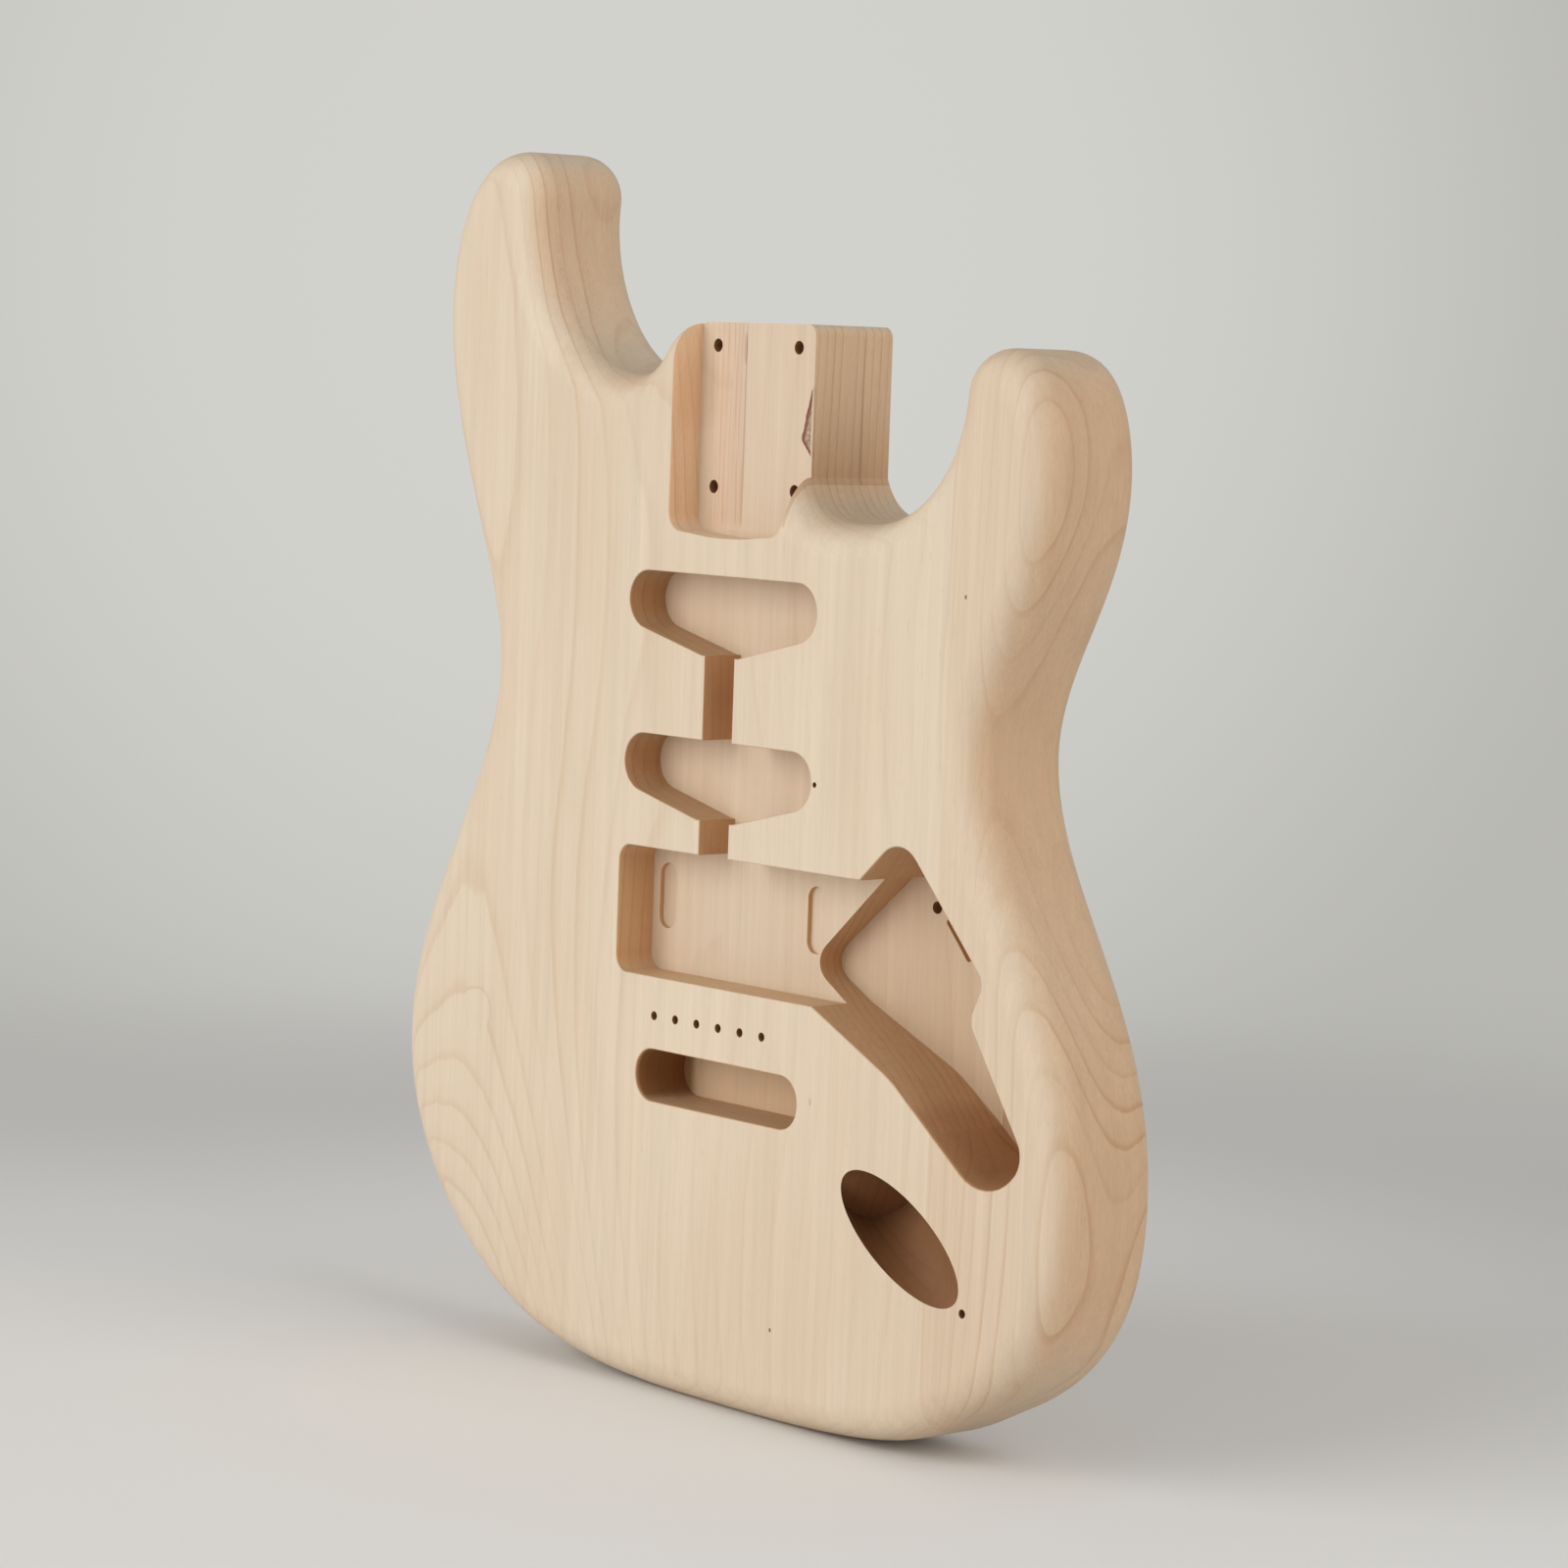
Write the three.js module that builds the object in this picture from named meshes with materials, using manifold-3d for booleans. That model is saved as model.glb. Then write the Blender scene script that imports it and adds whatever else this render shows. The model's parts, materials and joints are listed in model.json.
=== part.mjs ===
// Bare electric guitar body: three boards glued edge to edge, shaped to a double-cutaway outline and routed.
// Lengths are millimetres. X runs from the bass side to the treble side, Z runs from the tail up to the neck,
// and the front face looks along -Y. The origin lies under the middle of the body, at the height of its tail.
import * as THREE from 'three';
import { mergeVertices } from 'three/addons/utils/BufferGeometryUtils.js';
import Module from 'manifold-3d';

const wasm = await Module();
wasm.setup();

const fullTurn = 2 * Math.PI;
const quarterTurn = fullTurn / 4;

// The shaped blank
const bodyLength = 409;
const bodyWidth = 333;
const bodyThickness = 45;
const edgeOfWidthShare = 0.0362;
const edgeOfLengthShare = 0.0295;
const edgeRadius = Math.min(edgeOfWidthShare * bodyWidth, edgeOfLengthShare * bodyLength);
const bassReachShare = 0.5035;
const trebleReachShare = 1 - bassReachShare;

// The glue lines, as shares of the width from the centreline
const bassGlueShare = -0.0345;
const trebleGlueShare = 0.3228;

// The neck pocket and the heel under it
const pocketWidth = 56;
const pocketDepth = 12.1;
const pocketEnd = 157.6;
const pocketLength = 70;
const heelTopShare = 0.8636;
const creaseShare = 0.745;
const pocketBow = 2.6;
const pocketBowRadius = 126;
const pocketCornerRadius = 6;
const heelCornerRadius = 3.6;
const neckScrewRadius = 2.2;
const neckScrewSpacingAcross = 40;
const neckScrewSpacingUp = 45.9;
const neckScrewFromMouth = 7.5;

// The two single-coil pickup cavities and the wiring channels between the cavities
const pickupWidth = 93.2;
const pickupHeight = 26;
const pickupEndHeight = 17;
const pickupEndRadius = 9.4;
const pickupFootWidth = 18;
const pickupDepth = 15.2;
const neckPickupTop = 146;
const middlePickupTop = 92.5;
const channelWidth = 14.6;
const pilotRadius = 0.9;
const pilotDepth = 8;
const pilotInset = 1.8;
const middlePilotDrop = 9.5;

// The bridge pickup cavity and the two shallow leg recesses in its floor
const bridgeCavityLeft = -47.8;
const bridgeCavityLow = 12.8;
const bridgeCavityHeight = 42.3;
const bridgeCornerRadius = 5.4;
const legWidth = 8.5;
const legHeight = 21.8;
const legDepth = 1.6;
const legLow = 26.8;
const bassLegCentre = -40;
const trebleLegCentre = 34.5;

// The control cavity: its corners as shares of its own size, each with its corner radius as a share
// of the cavity's width, going clockwise from the bass corner
const controlLeft = 32.6;
const controlLow = -39;
const controlWidth = 117.5;
const controlHeight = 112.5;
const controlShallowDepth = 24.5;
const controlDeepDepth = 31;
const controlRampStart = 37;
const controlRampEnd = 105;
const controlCornerShares = [
  [0, 0.559, 0.059],
  [0.484, 0.982, 0.089],
  [0.819, 0.612, 0.042],
  [0.77, 0.5, 0.051],
  [1, 0.148, 0.072],
  [0.86, 0, 0.145],
  [0.475, 0.3, 0.34],
  [0.153, 0.461, 0],
];
// Under the bridge cavity its upper wall stands a little further back: where that step starts and ends
const controlStepShares = [0.294, 0.328];

// A small hole and a narrow relief for the switch, both in the floor of the control cavity
const floorHoleAcross = 77;
const floorHoleHeight = 45.8;
const floorHoleRadius = 2;
const floorHoleDepth = 35;
const switchAcross = 87.7;
const switchHeight = 37.3;
const switchTiltDegrees = 50.8;
const switchLength = 15.7;
const switchWidth = 5;
const switchDepth = 34;

// The bridge screws and the blind slot below them
const bridgeScrewCount = 6;
const bridgeScrewPitch = 10.83;
const bridgeScrewRadius = 1.5;
const bridgeScrewDepth = 18;
const slotLeft = -35.8;
const slotWidth = 80.8;
const slotTop = -11.1;
const slotHeight = 17.3;
const slotDepth = 21;
const slotEndRadius = 8.2;

// The jack bore: a round bore at a low slope, so that it opens on the front as a long oval
const jackAcross = 95.4;
const jackHeight = -54.2;
const jackRadius = 12.8;
const jackSlopeDegrees = 24.5;
const jackTurnDegrees = 28.9;
const jackReach = 28.6;
const jackScrewRadius = 1.45;
const jackScrewDepth = 14;
const jackScrewAcross = 125.1;
const jackScrewHeight = -72.7;

// The belly cut: a broad scoop across the back of the bass waist
const bellyHeight = 112;
const bellyDepth = 16;
const bellyReach = 62;
const bellyRadius = 200;

// The guide bearing of the round-over cutter, which was lifted out at the back of both crotches
const bearingRadius = 6.3;

// How far a cutting tool runs past the face that it enters or leaves
const cutOverrun = 3;

const curveSteps = 10;
const edgeSteps = 6;
const arcSteps = 7;
const holeSides = 20;
const boreSides = 48;
const scoopSides = 120;

const frontFace = -bodyThickness / 2;
const backFace = bodyThickness / 2;
const pocketHalf = pocketWidth / 2;
const heelTop = heelTopShare * bodyLength;
const creaseHeight = creaseShare * bodyLength;

// The row of bridge screws is the line that heights on the body are measured from
const bridgeLine = heelTop - pocketLength - pocketEnd;

// Places on the outline: share of the width from the centreline, share of the length from the tail,
// heading as a share of a full turn, then how far the curve follows that heading before and after
// the place, as shares of the length
const tailShares = [0.039, 0, 0.5, 0.2, 0.124];
const bassCrotchShares = [-0.171, 0.82, 0, 0.083, 0.052];
const bassShares = [
  [-0.26, 0.02, 0.461, 0.076, 0.086],
  [-bassReachShare, 0.252, 0.25, 0.118, 0.123],
  [-0.368, 0.577, 0.25, 0.099, 0.069],
  [-0.467, 0.871, 0.25, 0.116, 0.052],
  [-0.365, 1, 0, 0.06, 0.026],
  [-0.317, 0.958, -0.274, 0.022, 0.057],
  bassCrotchShares,
  [-0.068, heelTopShare, 0, 0.046, 0],
];
const creaseLeavingShares = [-0.19, 0.0355];
const trebleCrotchShares = [0.17, 0.712, 0, 0.025, 0.0765];
const trebleShares = [
  trebleCrotchShares,
  [0.317, 0.816, 0.236, 0.05, 0.019],
  [0.363, 0.85, 0, 0.021, 0.052],
  [0.438, 0.755, -0.25, 0.028, 0.09],
  [0.357, 0.544, -0.25, 0.068, 0.096],
  [trebleReachShare, 0.22, -0.25, 0.148, 0.062],
  [0.365, 0.045, -0.43, 0.103, 0.061],
];

// One place on the outline, in millimetres
function placeOf([acrossShare, upShare, turnShare, beforeShare, afterShare]) {
  return makePlace(acrossShare * bodyWidth, upShare * bodyLength, turnShare, beforeShare, afterShare);
}

function makePlace(across, up, turnShare, beforeShare, afterShare) {
  const heading = turnShare * fullTurn;
  return {
    across,
    up,
    headingAcross: Math.cos(heading),
    headingUp: Math.sin(heading),
    before: beforeShare * bodyLength,
    after: afterShare * bodyLength,
  };
}

// A smooth curve from one place to the next, leaving and arriving along their headings
function curveBetween(shape, from, to) {
  shape.bezierCurveTo(
    from.across + from.headingAcross * from.after,
    from.up + from.headingUp * from.after,
    to.across - to.headingAcross * to.before,
    to.up - to.headingUp * to.before,
    to.across,
    to.up,
  );
}

// The whole outline, clockwise from the tail: bass side, heel, treble side
function bodyOutline() {
  const tail = placeOf(tailShares);
  const [creaseTurnShare, creaseReachShare] = creaseLeavingShares;
  const crease = makePlace(pocketHalf, creaseHeight, creaseTurnShare, 0, creaseReachShare);
  const shape = new THREE.Shape();
  shape.moveTo(tail.across, tail.up);
  const bassPlaces = [tail, ...bassShares.map(placeOf)];
  bassPlaces.slice(1).forEach((place, i) => curveBetween(shape, bassPlaces[i], place));
  shape.lineTo(pocketHalf, heelTop);
  shape.lineTo(crease.across, crease.up);
  const treblePlaces = [crease, ...trebleShares.map(placeOf), tail];
  treblePlaces.slice(1).forEach((place, i) => curveBetween(shape, treblePlaces[i], place));
  return shape;
}

// A closed outline through corners of the form [across, up, corner radius]; a radius of 0 stays sharp
function roundedOutline(corners) {
  const shape = new THREE.Shape();
  const count = corners.length;
  corners.forEach(([across, up, radius], i) => {
    const corner = new THREE.Vector2(across, up);
    const before = new THREE.Vector2(...corners[(i + count - 1) % count]);
    const after = new THREE.Vector2(...corners[(i + 1) % count]);
    const toBefore = before.sub(corner).normalize();
    const toAfter = after.sub(corner).normalize();
    const halfAngle = Math.acos(toBefore.dot(toAfter)) / 2;
    const reach = radius / Math.tan(halfAngle);
    const start = corner.clone().addScaledVector(toBefore, reach);
    if (i === 0) shape.moveTo(start.x, start.y);
    else shape.lineTo(start.x, start.y);
    if (radius > 0) {
      const inward = toBefore.clone().add(toAfter).normalize();
      const centre = corner.clone().addScaledVector(inward, radius / Math.sin(halfAngle));
      const end = corner.clone().addScaledVector(toAfter, reach);
      const startAngle = Math.atan2(start.y - centre.y, start.x - centre.x);
      const endAngle = Math.atan2(end.y - centre.y, end.x - centre.x);
      const clockwise = toBefore.cross(toAfter) > 0;
      shape.absarc(centre.x, centre.y, radius, startAngle, endAngle, clockwise);
    }
  });
  return shape;
}

// A rectangle with rounded corners, from its lower left corner
function roundedRectangle(left, low, width, height, radius) {
  return roundedOutline([
    [left, low, radius],
    [left, low + height, radius],
    [left + width, low + height, radius],
    [left + width, low, radius],
  ]);
}

// Turns a closed mesh into a solid that can be cut and joined; triangles shrunk to a line are left out
function solidOf(geometry) {
  geometry.deleteAttribute('normal');
  geometry.deleteAttribute('uv');
  const merged = mergeVertices(geometry);
  const vertProperties = new Float32Array(merged.attributes.position.array);
  const corners = Array.from(merged.index.array);
  const triangles = corners.filter((_, i) => {
    const start = i - i % 3;
    return new Set(corners.slice(start, start + 3)).size === 3;
  });
  const triVerts = new Uint32Array(triangles);
  return new wasm.Manifold(new wasm.Mesh({ numProp: 3, vertProperties, triVerts }));
}

function geometryOf(solid) {
  const { vertProperties, triVerts } = solid.getMesh();
  const geometry = new THREE.BufferGeometry();
  geometry.setAttribute('position', new THREE.BufferAttribute(vertProperties, 3));
  geometry.setIndex(new THREE.BufferAttribute(triVerts, 1));
  geometry.computeVertexNormals();
  return geometry;
}

// Stands an outline up in the body, from one depth below the front face to a greater one
function slabOf(shape, fromDepth, toDepth, steps = arcSteps) {
  const depth = toDepth - fromDepth;
  const geometry = new THREE.ExtrudeGeometry(shape, { depth, bevelEnabled: false, curveSegments: steps });
  geometry.translate(0, 0, backFace - toDepth);
  geometry.rotateX(quarterTurn);
  return geometry;
}

// A cut of one outline, from in front of the body down to a depth
function frontCut(shape, depth) {
  return solidOf(slabOf(shape, -cutOverrun, depth));
}

// A round rod between two places
function rod(start, end, radius, sides) {
  const axis = end.clone().sub(start);
  const geometry = new THREE.CylinderGeometry(radius, radius, axis.length(), sides);
  const upright = new THREE.Vector3(0, 1, 0);
  geometry.applyQuaternion(new THREE.Quaternion().setFromUnitVectors(upright, axis.normalize()));
  const middle = start.clone().add(end).divideScalar(2);
  geometry.translate(middle.x, middle.y, middle.z);
  return solidOf(geometry);
}

// A round hole drilled from the front, between two depths
function hole(across, up, radius, fromDepth, toDepth) {
  const start = new THREE.Vector3(across, frontFace + fromDepth, up);
  const end = new THREE.Vector3(across, frontFace + toDepth, up);
  return rod(start, end, radius, holeSides);
}

// A plain block between two corners
function block(lowX, lowY, lowZ, highX, highY, highZ) {
  const geometry = new THREE.BoxGeometry(highX - lowX, highY - lowY, highZ - lowZ);
  geometry.translate((lowX + highX) / 2, (lowY + highY) / 2, (lowZ + highZ) / 2);
  return solidOf(geometry);
}

// The blank sawn to its outline and rounded over all round, front and back
function roundedBlank(outline) {
  const geometry = new THREE.ExtrudeGeometry(outline, {
    depth: bodyThickness - 2 * edgeRadius,
    bevelEnabled: true,
    bevelThickness: edgeRadius,
    bevelSize: edgeRadius,
    bevelOffset: -edgeRadius,
    bevelSegments: edgeSteps,
    curveSegments: curveSteps,
  });
  geometry.translate(0, 0, edgeRadius - bodyThickness / 2);
  geometry.rotateX(quarterTurn);
  return solidOf(geometry);
}

// The scoop that the round-over cutter left where it was lifted, at the bottom of a crotch
function cutterScoop(crotch) {
  const profile = [new THREE.Vector2(0, backFace - edgeRadius)];
  for (let step = 0; step <= edgeSteps; step += 1) {
    const turn = quarterTurn * step / edgeSteps;
    const radius = bearingRadius + edgeRadius * (1 - Math.cos(turn));
    profile.push(new THREE.Vector2(radius, backFace - edgeRadius * (1 - Math.sin(turn))));
  }
  const outerRadius = bearingRadius + edgeRadius;
  const outside = backFace + cutOverrun;
  profile.push(new THREE.Vector2(outerRadius, outside), new THREE.Vector2(0, outside));
  const geometry = new THREE.LatheGeometry(profile, boreSides);
  geometry.translate(crotch.across, 0, crotch.up + bearingRadius);
  return solidOf(geometry);
}

// The heel keeps square edges at the back, where the neck plate seats, as far as both crotches
function heelBlock(outline) {
  const bassCrotch = placeOf(bassCrotchShares);
  const trebleCrotch = placeOf(trebleCrotchShares);
  const low = trebleCrotch.up - 2 * edgeRadius;
  const back = backFace + cutOverrun;
  const around = block(bassCrotch.across, frontFace, low, trebleCrotch.across, back, heelTop + cutOverrun);
  const fullOutline = solidOf(slabOf(outline, pocketDepth, bodyThickness, curveSteps));
  return fullOutline.intersect(around).subtract(cutterScoop(bassCrotch)).subtract(cutterScoop(trebleCrotch));
}

// The sliver that rounds the heel's outer treble corner
function heelCornerCut() {
  const inner = pocketHalf - heelCornerRadius;
  const low = heelTop - heelCornerRadius;
  const shape = new THREE.Shape();
  shape.moveTo(pocketHalf, low);
  shape.absarc(inner, low, heelCornerRadius, 0, quarterTurn, false);
  shape.lineTo(inner, heelTop + cutOverrun);
  shape.lineTo(pocketHalf + cutOverrun, heelTop + cutOverrun);
  shape.lineTo(pocketHalf + cutOverrun, low);
  return solidOf(slabOf(shape, -cutOverrun, bodyThickness + cutOverrun));
}

function neckPocketCut() {
  const end = bridgeLine + pocketEnd;
  const mouth = heelTop + cutOverrun;
  const shape = roundedOutline([
    [-pocketHalf, mouth, 0],
    [pocketHalf, mouth, 0],
    [pocketHalf, end + pocketBow, pocketCornerRadius],
    [0, end, pocketBowRadius],
    [-pocketHalf, end + pocketBow, pocketCornerRadius],
  ]);
  return frontCut(shape, pocketDepth);
}

function neckScrewHoles() {
  const upper = heelTop - neckScrewFromMouth;
  const heights = [upper, upper - neckScrewSpacingUp];
  const sides = [-neckScrewSpacingAcross / 2, neckScrewSpacingAcross / 2];
  return sides.flatMap((across) => heights.map(
    (up) => hole(across, up, neckScrewRadius, 0, bodyThickness + cutOverrun),
  ));
}

// A single-coil cavity: a straight top edge, round ends and sides that slope down to a narrow foot
function pickupCut(topAboveBridge) {
  const top = bridgeLine + topAboveBridge;
  const half = pickupWidth / 2;
  const footHalf = pickupFootWidth / 2;
  const shape = roundedOutline([
    [-half, top, pickupEndRadius],
    [half, top, pickupEndRadius],
    [half, top - pickupEndHeight, pickupEndRadius],
    [footHalf, top - pickupHeight, 0],
    [-footHalf, top - pickupHeight, 0],
    [-half, top - pickupEndHeight, pickupEndRadius],
  ]);
  return frontCut(shape, pickupDepth);
}

// A wiring channel that joins two cavities, flush with their floors
function channelCut(fromAboveBridge, toAboveBridge) {
  const low = bridgeLine + fromAboveBridge - cutOverrun;
  const height = toAboveBridge - fromAboveBridge + 2 * cutOverrun;
  return frontCut(roundedRectangle(-channelWidth / 2, low, channelWidth, height, 0), pickupDepth);
}

function middlePilotHole() {
  const up = bridgeLine + middlePickupTop - middlePilotDrop;
  return hole(pickupWidth / 2 + pilotInset, up, pilotRadius, -cutOverrun, pilotDepth);
}

// The bridge pickup cavity runs on to the treble side until it opens into the control cavity
function bridgeCavityCut() {
  const low = bridgeLine + bridgeCavityLow;
  const width = controlLeft + controlWidth / 3 - bridgeCavityLeft;
  const cavity = roundedRectangle(bridgeCavityLeft, low, width, bridgeCavityHeight, bridgeCornerRadius);
  return frontCut(cavity, pickupDepth);
}

function legRecessCut(centre) {
  const left = centre - legWidth / 2;
  const shape = roundedRectangle(left, bridgeLine + legLow, legWidth, legHeight, legWidth / 2.1);
  return frontCut(shape, pickupDepth + legDepth);
}

function controlCorners() {
  const bridgeTop = bridgeLine + bridgeCavityLow + bridgeCavityHeight;
  const step = controlStepShares.map((share) => [controlLeft + share * controlWidth, bridgeTop, 0]);
  const [bassCorner, ...others] = controlCornerShares.map(([acrossShare, upShare, radiusShare]) => [
    controlLeft + acrossShare * controlWidth,
    bridgeLine + controlLow + upShare * controlHeight,
    radiusShare * controlWidth,
  ]);
  return [bassCorner, ...step, ...others];
}

// The control cavity is deeper than the pickup cavities, and its floor falls away towards the arm
function controlCavityCut() {
  const prism = frontCut(roundedOutline(controlCorners()), controlDeepDepth);
  const left = controlLeft - cutOverrun;
  const right = controlLeft + controlWidth + cutOverrun;
  const profile = new THREE.Shape();
  profile.moveTo(left, frontFace - cutOverrun);
  profile.lineTo(right, frontFace - cutOverrun);
  profile.lineTo(right, frontFace + controlDeepDepth);
  profile.lineTo(controlRampEnd, frontFace + controlDeepDepth);
  profile.lineTo(controlRampStart, frontFace + controlShallowDepth);
  profile.lineTo(left, frontFace + controlShallowDepth);
  const wedge = new THREE.ExtrudeGeometry(profile, { depth: bodyLength, bevelEnabled: false });
  return prism.intersect(solidOf(wedge));
}

function floorHole() {
  const up = bridgeLine + floorHoleHeight;
  return hole(floorHoleAcross, up, floorHoleRadius, controlShallowDepth - cutOverrun, floorHoleDepth);
}

function switchReliefCut() {
  const left = -switchLength / 2;
  const shape = roundedRectangle(left, -switchWidth / 2, switchLength, switchWidth, switchWidth / 5);
  const depth = switchDepth - controlShallowDepth + cutOverrun;
  const geometry = new THREE.ExtrudeGeometry(shape, { depth, bevelEnabled: false, curveSegments: arcSteps });
  geometry.rotateZ(-THREE.MathUtils.degToRad(switchTiltDegrees));
  geometry.translate(switchAcross, bridgeLine + switchHeight, backFace - switchDepth);
  geometry.rotateX(quarterTurn);
  return solidOf(geometry);
}

function bridgeScrewHoles() {
  const places = Array.from({ length: bridgeScrewCount }, (_, i) => i - (bridgeScrewCount - 1) / 2);
  return places.map(
    (place) => hole(place * bridgeScrewPitch, bridgeLine, bridgeScrewRadius, -cutOverrun, bridgeScrewDepth),
  );
}

function blindSlotCut() {
  const low = bridgeLine + slotTop - slotHeight;
  return frontCut(roundedRectangle(slotLeft, low, slotWidth, slotHeight, slotEndRadius), slotDepth);
}

function jackBoreCut() {
  const slope = THREE.MathUtils.degToRad(jackSlopeDegrees);
  const turn = THREE.MathUtils.degToRad(jackTurnDegrees);
  const level = Math.cos(slope);
  const inward = new THREE.Vector3(-level * Math.cos(turn), Math.sin(slope), level * Math.sin(turn));
  const mouth = new THREE.Vector3(jackAcross, frontFace, bridgeLine + jackHeight);
  const start = mouth.clone().addScaledVector(inward, -2 * jackRadius / Math.sin(slope));
  const end = mouth.clone().addScaledVector(inward, jackReach);
  return rod(start, end, jackRadius, boreSides);
}

function jackScrewHole() {
  return hole(jackScrewAcross, bridgeLine + jackScrewHeight, jackScrewRadius, -cutOverrun, jackScrewDepth);
}

// A large rod lies across the back of the bass waist, sunk deepest at the body's edge
function bellyCut() {
  const tilt = Math.atan2(bellyDepth, bellyReach);
  const [waistAcrossShare] = bassShares[2];
  const up = bridgeLine + bellyHeight;
  const edge = new THREE.Vector3(waistAcrossShare * bodyWidth, backFace - bellyDepth, up);
  const outward = new THREE.Vector3(-Math.sin(tilt), Math.cos(tilt), 0);
  const along = new THREE.Vector3(Math.cos(tilt), Math.sin(tilt), 0);
  const centre = edge.addScaledVector(outward, bellyRadius);
  const start = centre.clone().addScaledVector(along, -bellyReach);
  const end = centre.clone().addScaledVector(along, 2 * bellyReach);
  return rod(start, end, bellyRadius, scoopSides);
}

// The glued blank after all shaping and routing, before it is parted at the glue lines
function routedBody() {
  const outline = bodyOutline();
  const cuts = [
    heelCornerCut(),
    neckPocketCut(),
    ...neckScrewHoles(),
    pickupCut(neckPickupTop),
    pickupCut(middlePickupTop),
    channelCut(middlePickupTop, neckPickupTop - pickupHeight),
    channelCut(bridgeCavityLow + bridgeCavityHeight, middlePickupTop - pickupHeight),
    middlePilotHole(),
    bridgeCavityCut(),
    legRecessCut(bassLegCentre),
    legRecessCut(trebleLegCentre),
    controlCavityCut(),
    floorHole(),
    switchReliefCut(),
    ...bridgeScrewHoles(),
    blindSlotCut(),
    jackBoreCut(),
    jackScrewHole(),
    bellyCut(),
  ];
  const shaped = roundedBlank(outline).add(heelBlock(outline));
  return cuts.reduce((body, cut) => body.subtract(cut), shaped);
}

// One board: what lies between two upright planes across the body
function boardMesh(name, body, left, right, colour) {
  const front = frontFace - cutOverrun;
  const back = backFace + cutOverrun;
  const space = block(left, front, -cutOverrun, right, back, bodyLength + cutOverrun);
  const material = new THREE.MeshStandardMaterial({ color: colour, roughness: 0.62, metalness: 0 });
  const mesh = new THREE.Mesh(geometryOf(body.intersect(space)), material);
  mesh.name = name;
  return mesh;
}

const body = routedBody();
const bassGlueLine = bassGlueShare * bodyWidth;
const trebleGlueLine = trebleGlueShare * bodyWidth;
const bassEdge = -bassReachShare * bodyWidth - cutOverrun;
const trebleEdge = trebleReachShare * bodyWidth + cutOverrun;

const guitarBody = new THREE.Group();
guitarBody.add(
  boardMesh('bass_side_board', body, bassEdge, bassGlueLine, '#dcc8a9'),
  boardMesh('centre_board', body, bassGlueLine, trebleGlueLine, '#dec9ac'),
  boardMesh('treble_side_board', body, trebleGlueLine, trebleEdge, '#d8c19f'),
);
guitarBody.position.x = (bassReachShare - trebleReachShare) / 2 * bodyWidth;

export default guitarBody;
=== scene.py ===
import json
import math

import bmesh
import bpy
from mathutils import Matrix, Vector
from mathutils.geometry import interpolate_bezier

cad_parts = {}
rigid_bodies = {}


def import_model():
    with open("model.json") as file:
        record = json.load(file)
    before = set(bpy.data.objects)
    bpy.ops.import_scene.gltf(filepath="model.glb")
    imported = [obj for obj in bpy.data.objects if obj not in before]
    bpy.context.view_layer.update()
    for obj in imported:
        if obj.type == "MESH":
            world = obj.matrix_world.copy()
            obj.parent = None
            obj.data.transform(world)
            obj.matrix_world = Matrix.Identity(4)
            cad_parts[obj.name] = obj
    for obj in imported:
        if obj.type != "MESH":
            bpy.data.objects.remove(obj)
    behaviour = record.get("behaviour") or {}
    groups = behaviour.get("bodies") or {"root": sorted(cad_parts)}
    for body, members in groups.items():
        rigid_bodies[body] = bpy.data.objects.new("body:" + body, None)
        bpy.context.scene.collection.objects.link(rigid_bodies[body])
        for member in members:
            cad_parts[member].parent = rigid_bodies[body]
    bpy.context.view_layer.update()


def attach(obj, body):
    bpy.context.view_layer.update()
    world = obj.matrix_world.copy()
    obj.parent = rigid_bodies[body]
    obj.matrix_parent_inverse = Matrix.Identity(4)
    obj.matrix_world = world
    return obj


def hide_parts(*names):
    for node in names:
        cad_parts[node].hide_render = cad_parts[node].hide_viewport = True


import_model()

# The glued blank

# A 45 mm slab of solid wood, bandsawn to a double-cutaway outline. A round-over cutter has run round
# its edge, front and back, and left a quarter-round of 12 mm.
body_length = 409.0
body_width = 333.0
body_thickness = 45.0
edge_radius = 12.05
round_over_steps = 14
outline_steps = 22
front_face = -body_thickness / 2
back_face = body_thickness / 2
bass_reach = 0.5035
centreline = (bass_reach - 0.5) * body_width

# Places on the outline: share of the width from the centreline, share of the length from the tail,
# heading as a share of a turn, and how far the curve follows that heading before and after the place.
# Most are the rounded result of a least-squares fit to the photo's silhouette.
heel_top_share = 0.8636
tail = (0.039, 0, 0.5, 0.2, 0.124)
bass_crotch = (-0.171, 0.82, 0, 0.083, 0.052)
treble_crotch = (0.17, 0.712, 0, 0.025, 0.0765)
bass_side = (
    (-0.26, 0.02, 0.461, 0.076, 0.086),
    (-bass_reach, 0.252, 0.25, 0.118, 0.123),
    (-0.368, 0.577, 0.25, 0.099, 0.069),
    (-0.467, 0.871, 0.25, 0.116, 0.052),
    (-0.365, 1, 0, 0.06, 0.026),
    (-0.317, 0.958, -0.274, 0.022, 0.057),
    bass_crotch,
    (-0.068, heel_top_share, 0, 0.046, 0),
)
treble_side = (
    treble_crotch,
    (0.317, 0.816, 0.236, 0.05, 0.019),
    (0.363, 0.85, 0, 0.021, 0.052),
    (0.438, 0.755, -0.25, 0.028, 0.09),
    (0.357, 0.544, -0.25, 0.068, 0.096),
    (1 - bass_reach, 0.22, -0.25, 0.148, 0.062),
    (0.365, 0.045, -0.43, 0.103, 0.061),
)
pocket_half = 28.0
heel_top = heel_top_share * body_length

# The crease, where the heel's straight treble side meets the cutaway's curve
crease = (pocket_half / body_width, 0.745, -0.19, 0, 0.0355)


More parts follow.
